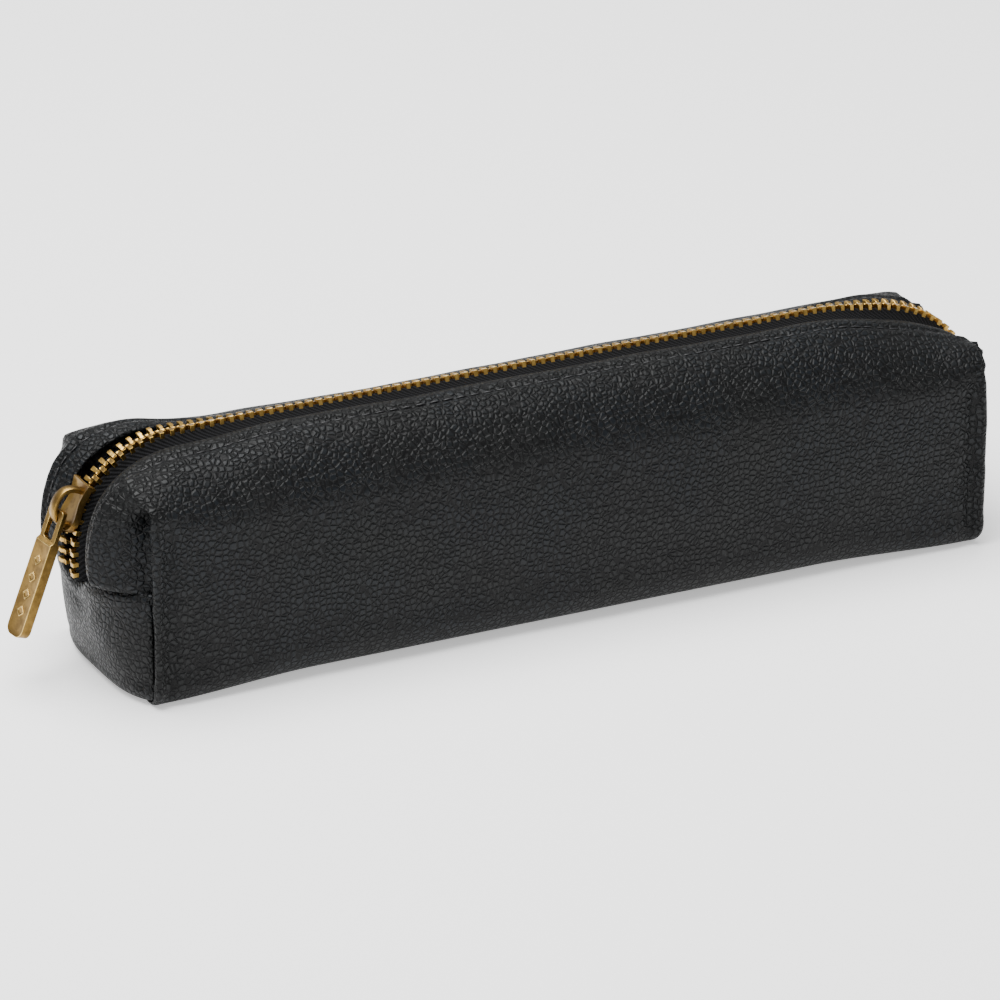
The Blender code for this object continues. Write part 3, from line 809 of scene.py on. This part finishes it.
def tooth_shape():
    """A tooth of the front row: x along the chain, y towards the other row, z away from the case."""
    bm = bmesh.new()
    bmesh.ops.create_cube(bm, size=1)
    bmesh.ops.scale(bm, vec=(0.98 * MM, 1.35 * MM, 2.35 * MM), verts=bm.verts)
    bmesh.ops.translate(bm, vec=(0, -1.75 * MM, 0.45 * MM), verts=bm.verts)
    for forward, along, height in TOOTH_STEPS:
        bm.normal_update()
        face = max(bm.faces, key=front_end)
        made = bmesh.ops.extrude_discrete_faces(bm, faces=[face])["faces"][0]
        centre = made.calc_center_median()
        bmesh.ops.scale(bm, vec=(along, 1, height), verts=made.verts, space=Matrix.Translation(-centre))
        bmesh.ops.translate(bm, vec=(0, forward * MM, 0), verts=made.verts)
    bm.normal_update()
    tops = sorted((f for f in bm.faces if f.normal.z > 0.9), key=lambda f: f.calc_center_median().y)
    bmesh.ops.inset_region(bm, faces=[tops[-1]], thickness=0.2 * MM, depth=-0.18 * MM)
    bmesh.ops.bevel(
        bm, geom=[e for e in bm.edges if e.calc_face_angle(0) > 0.9], offset=0.09 * MM, affect="EDGES",
        segments=1, profile=0.5, material=-1,
    )
    return as_mesh("tooth_shape", bm)


tooth = tooth_shape()
print("one tooth:", len(tooth.polygons), "faces")


# %% Rows of teeth
def teeth_row(name, side):
    bm = bmesh.new()
    start = -ZIP_MIDDLE + 0.9 * MM + (PITCH / 2 if side > 0 else 0)
    count = int((2 * ZIP_MIDDLE - 5.0 * MM) / PITCH)
    for number in range(count):
        signed = start + number * PITCH
        point, normal, along = zip_place(signed)
        across = Vector((0, -side, 0))
        turn = Matrix((along, across, normal)).transposed().to_4x4()
        place = Matrix.Translation(point - across * row_off(signed)) @ turn
        before = len(bm.verts)
        bm.from_mesh(tooth)
        bm.verts.ensure_lookup_table()
        bmesh.ops.transform(bm, matrix=place, verts=bm.verts[before:])
    bmesh.ops.recalc_face_normals(bm, faces=bm.faces)
    settle(bm)
    piece = finished(name, bm, TOOTH_BRASS, sharp=35)
    return piece


teeth = {"front": teeth_row("teeth_front", -1), "back": teeth_row("teeth_back", 1)}
print("teeth:", [len(piece.data.polygons) for piece in teeth.values()], "faces")

# %% [markdown]
# ## The slider
# The slider is a casting: an upper plate with skirts that hold the rows, a lower plate inside the case, a post
# between them at the nose, and a bridge for the puller. The plate is a shield, wide at the rear, waisted, wide at
# the shoulders and drawn to a narrow nose, and it is dished between two raised edges.

# %% Slider
point, normal, along = zip_place(-SLIDER_AT)
SLIDER_FRAME = Matrix.Translation(point) @ Matrix((along, Vector((0, 1, 0)), normal)).transposed().to_4x4()
SLIDER_HALF = 5.65 * MM
PLATE_TOP, PLATE_DISH, SKIRT = 2.55 * MM, 0.5 * MM, 1.5 * MM
BRIDGE_TOP = 4.4 * MM
PLATE_COLUMNS, TOP_ROWS, LOWER_ROWS = 30, 12, 6


def shield_half(x):
    """Half the plate's width, from the rear at +x to the nose at -x."""
    if x > 1.6 * MM:
        return 2.75 * MM + 1.1 * MM * ((x - 1.6 * MM) / (SLIDER_HALF - 1.6 * MM)) ** 1.5
    if x > -2.2 * MM:
        return 2.75 * MM + 0.85 * MM * ease(1.6 * MM, -2.2 * MM, x)
    share = (-2.2 * MM - x) / (SLIDER_HALF - 2.2 * MM)
    return 3.6 * MM * (1 - share**2.0) ** 0.62 + 0.25 * MM * share


def plate_place(column, row):
    x = SLIDER_HALF * (1 - 2 * column / PLATE_COLUMNS)
    across = 2 * row / TOP_ROWS - 1
    half = shield_half(x)
    rim = max(abs(across) - 0.72, 0) / 0.28
    dip = PLATE_DISH * (1 - rim) * (1 - (x / SLIDER_HALF) ** 8)
    return Vector((x, half * across, PLATE_TOP - dip))


def plate_solid(place, columns, rows, skirt, thickness):
    bm = grid(columns, rows, place)
    if skirt:
        rims = [e for e in bm.edges if e.is_boundary and abs(e.verts[0].co.y) > 1 * MM
                and abs(e.verts[0].co.x - e.verts[1].co.x) > 0.01 * MM]
        made = bmesh.ops.extrude_edge_only(bm, edges=rims)["geom"]
        moved = [v for v in made if isinstance(v, bmesh.types.BMVert)]
        bmesh.ops.translate(bm, vec=(0, 0, -skirt), verts=moved)
    face_away_from(bm, Vector((0, 0, -10 * MM)))
    bmesh.ops.solidify(bm, geom=bm.faces[:], thickness=thickness)
    bmesh.ops.recalc_face_normals(bm, faces=bm.faces)
    return bm


def band(steps, centre_line, width, thickness):
    """A bar of rounded section along a line in the x-z plane, closed at both ends."""
    around = 12
    points = [centre_line(i / steps) for i in range(steps + 1)]

    def place(column, row):
        before, after = points[max(column - 1, 0)], points[min(column + 1, steps)]
        run = (after - before).normalized()
        outward = Vector((-run.z, 0, run.x))
        angle = 2 * math.pi * row / around
        wide, tall = math.cos(angle), math.sin(angle)
        wide = math.copysign(abs(wide) ** 0.55, wide) * width / 2
        tall = math.copysign(abs(tall) ** 0.55, tall) * thickness / 2
        return points[column] + Vector((0, wide, 0)) + outward * tall

    bm = grid(steps, around, place)
    bmesh.ops.remove_doubles(bm, verts=bm.verts, dist=0.001 * MM)
    bmesh.ops.holes_fill(bm, edges=[e for e in bm.edges if e.is_boundary], sides=0)
    bmesh.ops.recalc_face_normals(bm, faces=bm.faces)
    return bm


def bridge_line(share):
    """From inside the plate near the rear, over the top, and down to the nose."""
    angle = math.pi * share
    x = 3.9 * MM * math.cos(angle) - 0.35 * MM
    rise = (math.sin(angle) ** 0.62) * BRIDGE_TOP
    return Vector((x, 0, PLATE_TOP - 0.6 * MM + rise))


def lower_place(column, row):
    x = SLIDER_HALF * (1 - 2 * column / PLATE_COLUMNS)
    return Vector((x, shield_half(x) * 0.95 * (2 * row / LOWER_ROWS - 1), -2.2 * MM))


def post_line(share):
    return Vector((-SLIDER_HALF + 0.9 * MM, 0, -2.6 * MM + share * 5.2 * MM))


slider_mesh = bmesh.new()
for part in (
    plate_solid(plate_place, PLATE_COLUMNS, TOP_ROWS, SKIRT, 0.45 * MM),
    plate_solid(lower_place, PLATE_COLUMNS, LOWER_ROWS, 0, 0.7 * MM),
    band(28, bridge_line, 2.5 * MM, 1.25 * MM),
    band(4, post_line, 0.8 * MM, 1.2 * MM),
):
    slider_mesh.from_mesh(as_mesh("slider_part", part))
bmesh.ops.transform(slider_mesh, matrix=SLIDER_FRAME, verts=slider_mesh.verts)
slider = finished("slider", slider_mesh, BRASS, BRIGHT_BRASS, sharp=40)


def rub_and_highlight_edges(piece, width, angle):
    bevel = piece.modifiers.new("rubbed edges and painted highlight", "BEVEL")
    bevel.width = width
    bevel.segments = 2
    bevel.limit_method = "ANGLE"
    bevel.angle_limit = math.radians(angle)
    # The bevels get the bright brass: rubbed brass, and also a painted highlight along every edge.
    bevel.material = 1
    bevel.harden_normals = True


rub_and_highlight_edges(slider, 0.16 * MM, 50)
print("slider:", len(slider.data.polygons), "faces before its bevels")

# %% [markdown]
# ## The puller
# The puller is a flat bar, 28.5 mm long and 5.5 mm wide, thinned at the neck where a slot lets it hang on the
# bridge. Its face has a sunken panel. The panel gets a row of plain lozenges, which give the metal something to
# catch the light without saying anything.

# %% Puller
PULLER_LENGTH, PULLER_WIDTH, PULLER_THICK, PULLER_NECK = 28.5 * MM, 5.5 * MM, 2.5 * MM, 1.2 * MM
SLOT_LENGTH, SLOT_WIDTH = 6.2 * MM, 3.0 * MM
NECK_END, BAR_START = -SLOT_LENGTH - 0.2 * MM, -SLOT_LENGTH - 0.9 * MM  # the step in thickness lies between them
PULLER_TILT, PULLER_TWIST = math.radians(21), math.radians(10)
TIP_CORNER = 1.9 * MM


def puller_outline():
    half = PULLER_WIDTH / 2
    right = [(half - 0.6 * MM, 0.6 * MM), (half - 0.15 * MM, 0.35 * MM), (half, -0.1 * MM)]
    for step in range(7):
        angle = math.pi / 2 * step / 6
        right.append((
            half - TIP_CORNER * (1 - math.cos(angle)),
            -PULLER_LENGTH + TIP_CORNER * (1 - math.sin(angle)),
        ))
    return right + [(-y, z) for y, z in right[::-1]]


def cut_with(piece, cutter):
    """Cuts the piece and keeps the result as its mesh."""
    cut = piece.modifiers.new("cut", "BOOLEAN")
    cut.operation = "DIFFERENCE"
    cut.object = cutter
    graph = bpy.context.evaluated_depsgraph_get()
    result = bpy.data.meshes.new_from_object(piece.evaluated_get(graph))
    piece.modifiers.clear()
    piece.data = result
    bpy.data.objects.remove(cutter)


puller_mesh = bmesh.new()
face = puller_mesh.faces.new([puller_mesh.verts.new((-PULLER_THICK / 2, y, z)) for y, z in puller_outline()])
made = bmesh.ops.extrude_face_region(puller_mesh, geom=[face])["geom"]
moved = [v for v in made if isinstance(v, bmesh.types.BMVert)]
bmesh.ops.translate(puller_mesh, vec=(PULLER_THICK, 0, 0), verts=moved)
for level in (NECK_END, BAR_START):
    geometry = puller_mesh.verts[:] + puller_mesh.edges[:] + puller_mesh.faces[:]
    bmesh.ops.bisect_plane(puller_mesh, geom=geometry, plane_co=(0, 0, level), plane_no=(0, 0, 1))
for vert in puller_mesh.verts:
    thin = ease(BAR_START, NECK_END, vert.co.z)
    vert.co.x *= 1 - (1 - PULLER_NECK / PULLER_THICK) * thin
bmesh.ops.recalc_face_normals(puller_mesh, faces=puller_mesh.faces)
flats = [f for f in puller_mesh.faces if abs(f.normal.x) > 0.99 and f.calc_center_median().z < BAR_START]
bmesh.ops.inset_individual(puller_mesh, faces=flats, thickness=0.7 * MM, depth=-0.14 * MM)
puller = finished("puller_bar", puller_mesh, BRASS, BRIGHT_BRASS)

cutter_mesh = bmesh.new()
bmesh.ops.create_cube(cutter_mesh, size=1)
bmesh.ops.scale(cutter_mesh, vec=(4 * MM, SLOT_WIDTH, SLOT_LENGTH - 0.6 * MM), verts=cutter_mesh.verts)
bmesh.ops.translate(cutter_mesh, vec=(0, 0, -SLOT_LENGTH / 2 - 0.3 * MM), verts=cutter_mesh.verts)
upright = [e for e in cutter_mesh.edges if abs(e.verts[0].co.x - e.verts[1].co.x) > 1 * MM]
bmesh.ops.bevel(cutter_mesh, geom=upright, offset=0.6 * MM, affect="EDGES", segments=3, profile=0.5, material=-1)
cut_with(puller, finished("slot_cutter", cutter_mesh, smooth=False))

lozenges = bmesh.new()
lozenges.from_mesh(puller.data)
for number in range(4):
    made = bmesh.ops.create_cone(
        lozenges, cap_ends=True, segments=4, radius1=1.35 * MM, radius2=1.2 * MM, depth=0.30 * MM,
        matrix=Matrix.Translation((-PULLER_THICK / 2 + 0.08 * MM, 0, (-11.2 - 3.9 * number) * MM))
        @ Matrix.Rotation(-math.pi / 2, 4, "Y"),
    )
    tops = {face for vert in made["verts"] for face in vert.link_faces}
    top = min(tops, key=lambda face: face.calc_center_median().x)
    bmesh.ops.inset_region(lozenges, faces=[top], thickness=0.42 * MM, depth=-0.2 * MM)
pivot = SLIDER_FRAME @ Vector((-2.0 * MM, 0, 4.9 * MM))
hang = Matrix.Translation(pivot) @ Matrix.Rotation(PULLER_TILT, 4, "Y") @ Matrix.Rotation(PULLER_TWIST, 4, "Z")
bmesh.ops.transform(lozenges, matrix=hang, verts=lozenges.verts)
lozenges.to_mesh(puller.data)
lozenges.free()
puller.data.shade_smooth()
puller.data.set_sharp_from_angle(angle=math.radians(35))
rub_and_highlight_edges(puller, 0.22 * MM, 45)
print("puller:", len(puller.data.polygons), "faces before its bevels")

# %% [markdown]
# ## Stitches and lining
# A row of black lockstitches lies in the groove along each folded edge, one stitch every 3.2 mm. Inside, the two
# lips are lined. The frame has the lining's shape already, so it is copied, cut into short lengths that can bend,
# and given a soft cloth finish.

# %% Stitches
def thread_finish():
    finish = Finish("black_thread", Specular_IOR_Level=0.5)
    ply = finish.noise(finish.place(), 4200.0, 2.0)
    tint = finish.colour(ply, (0.004, 0.004, 0.005, 1), (0.016, 0.016, 0.018, 1))
    finish.set(Base_Color=tint, Roughness=0.42 + ply * 0.2)
    finish.raised(ply, 0.05 * MM, 0.6)
    return finish.material


THREAD = thread_finish()
STITCH, STITCH_GAP, THREAD_RADIUS = 2.7 * MM, 0.5 * MM, 0.21 * MM


def stitch_row(name, side):
    bm = bmesh.new()
    count = int((ZIP_MIDDLE - 4 * MM) / (STITCH + STITCH_GAP))
    for number in range(-count, count + 1):
        signed = number * (STITCH + STITCH_GAP)
        ends = []
        for step in (-0.5, 0.5):
            spot = signed + step * STITCH
            point, facing, _, share = lip_point(abs(spot), STITCH_LINE)
            point += facing * (lip_relief(abs(spot), STITCH_LINE, share) + THREAD_RADIUS * 0.55)
            if spot > 0:
                point.x, facing.x = -point.x, -facing.x
            ends.append(point)
        run = ends[1] - ends[0]
        place = Matrix.Translation((ends[0] + ends[1]) / 2) @ run.to_track_quat("X", "Z").to_matrix().to_4x4()
        size = Matrix.Diagonal((run.length / 2 / THREAD_RADIUS * 1.05, 1, 1, 1))
        bmesh.ops.create_icosphere(bm, subdivisions=1, radius=THREAD_RADIUS, matrix=place @ size)
    if side > 0:
        bmesh.ops.scale(bm, vec=(1, -1, 1), verts=bm.verts)
        bmesh.ops.reverse_faces(bm, faces=bm.faces)
    settle(bm)
    piece = finished(name, bm, THREAD)
    return piece


stitches = {"front": stitch_row("stitches_front", -1), "back": stitch_row("stitches_back", 1)}
print("stitches:", [len(piece.data.polygons) for piece in stitches.values()], "faces")


# %% Lining
def lining_finish():
    finish = Finish("charcoal_lining", Specular_IOR_Level=0.15, Sheen_Weight=0.3)
    place = finish.place()
    nap = finish.noise(place, 1500.0, 3.0, 0.7)
    soft = finish.noise(place, 90.0, 2.0)
    tint = finish.colour(soft, (0.020, 0.021, 0.025, 1), (0.034, 0.035, 0.040, 1))
    finish.set(Base_Color=tint, Roughness=0.92 - nap * 0.1)
    finish.raised(nap, 0.08 * MM, 0.7)
    return finish.material


LINING = lining_finish()
BEND_STEP = 5 * MM


def lining_piece(name, node):
    bm = bmesh.new()
    bm.from_mesh(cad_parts[node].data)
    bmesh.ops.remove_doubles(bm, verts=bm.verts, dist=0.01 * MM)
    low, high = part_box(node)
    for axis, direction in ((0, (1, 0, 0)), (2, (0, 0, 1))):
        for cut in range(1, int((high[axis] - low[axis]) / BEND_STEP) + 1):
            at = Vector(low)
            at[axis] += cut * BEND_STEP
            geometry = bm.verts[:] + bm.edges[:] + bm.faces[:]
            bmesh.ops.bisect_plane(bm, geom=geometry, plane_co=at, plane_no=direction)
    settle(bm)
    piece = finished(name, bm, LINING, sharp=40)
    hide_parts(node)
    return piece


linings = {
    "front": lining_piece("lining_front", "lining_upper_front"),
    "back": lining_piece("lining_back", "lining_upper_back"),
}
lining_base = lining_piece("lining_base", "lining_lower")
print("linings:", [len(piece.data.polygons) for piece in linings.values()], "faces")

# %% [markdown]
# ## Two pieces that hardly show
# The end stop is a small brass box that holds the rows together at the far end. The board under the lining keeps
# the bottom flat. It is the frame's own piece, with a fibrous grey finish.

# %% End stop and board
stop_mesh = bmesh.new()
bmesh.ops.create_cube(stop_mesh, size=1)
bmesh.ops.scale(stop_mesh, vec=stop_high - stop_low, verts=stop_mesh.verts)
bmesh.ops.translate(stop_mesh, vec=(stop_low + stop_high) / 2, verts=stop_mesh.verts)
bmesh.ops.bevel(
    stop_mesh, geom=stop_mesh.edges[:], offset=0.4 * MM, affect="EDGES", segments=3, profile=0.5, material=-1
)
end_stop = finished("end_stop_box", stop_mesh, TOOTH_BRASS)

board_finish = Finish("grey_board", Specular_IOR_Level=0.2)
fibres = board_finish.noise(board_finish.place(), 900.0, 4.0, 0.7)
board_tint = board_finish.colour(fibres, (0.19, 0.16, 0.12, 1), (0.31, 0.27, 0.21, 1))
board_finish.set(Base_Color=board_tint, Roughness=0.85 + fibres * 0.1)
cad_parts["base_board"].data.materials.clear()
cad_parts["base_board"].data.materials.append(board_finish.material)

# %% [markdown]
# ## Where the pieces hang
# When the slider runs back, the two lips part behind it: the left end opens fully and the far end stays shut. Here
# the soft pieces near the zip only have their placement baked into their meshes. The base, its lining and the end
# stop hang on the case's body, the slider and the puller on bodies of their own, and the frame's pieces they stand
# for are hidden.


def part_with(piece):
    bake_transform(piece)


part_with(leather_front)
part_with(leather_back)
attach(leather_base, "root")
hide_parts("leather_upper_front")
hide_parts("leather_upper_back")
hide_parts("leather_lower")
for side in ("front", "back"):
    for piece, node in (
        (tapes[side], "zip_tape_"),
        (teeth[side], "zip_teeth_"),
        (stitches[side], "topstitch_"),
    ):
        part_with(piece)
        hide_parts(node + side)
    part_with(linings[side])
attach(lining_base, "root")
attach(end_stop, "root")
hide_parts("end_stop")
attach(slider, "slider")
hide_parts("slider_body")
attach(puller, "puller")
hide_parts("puller")

# %% [markdown]
# ## Floor and lights
# The floor is pale and plain, and glows a little so that it stays light under the case. One big soft light hangs
# over the case, and a weak one opens up the left end.

# %% Floor and lights
bpy.ops.mesh.primitive_plane_add(size=8)
floor = bpy.context.object
floor.name = "floor"
floor_finish = Finish("pale_floor", Roughness=0.9, Specular_IOR_Level=0.0, Emission_Strength=0.52)
floor_finish.set(Emission_Color=(1, 1, 1, 1), Base_Color=(0.93, 0.93, 0.93, 1))
floor.data.materials.append(floor_finish.material)

world = bpy.data.worlds.new("studio")
world.use_nodes = True
sky = world.node_tree.nodes["Background"]
sky.inputs["Color"].default_value = (1, 1, 1, 1)
sky.inputs["Strength"].default_value = 0.50
bpy.context.scene.world = world


def softbox(name, place, aim, size, power):
    light_data = bpy.data.lights.new(name, "AREA")
    light_data.shape = "RECTANGLE"
    light_data.size, light_data.size_y = size
    light_data.energy = power
    light = bpy.data.objects.new(name, light_data)
    bpy.context.scene.collection.objects.link(light)
    light.location = place
    light.rotation_euler = (Vector(aim) - Vector(place)).to_track_quat("-Z", "Y").to_euler()


softbox("overhead", (-0.15, 0.10, 0.95), (0, 0, 0.02), (1.0, 0.8), 24.0)
softbox("left_window", (-0.55, -0.25, 0.95), (-0.08, 0, 0.03), (0.25, 0.25), 2.5)
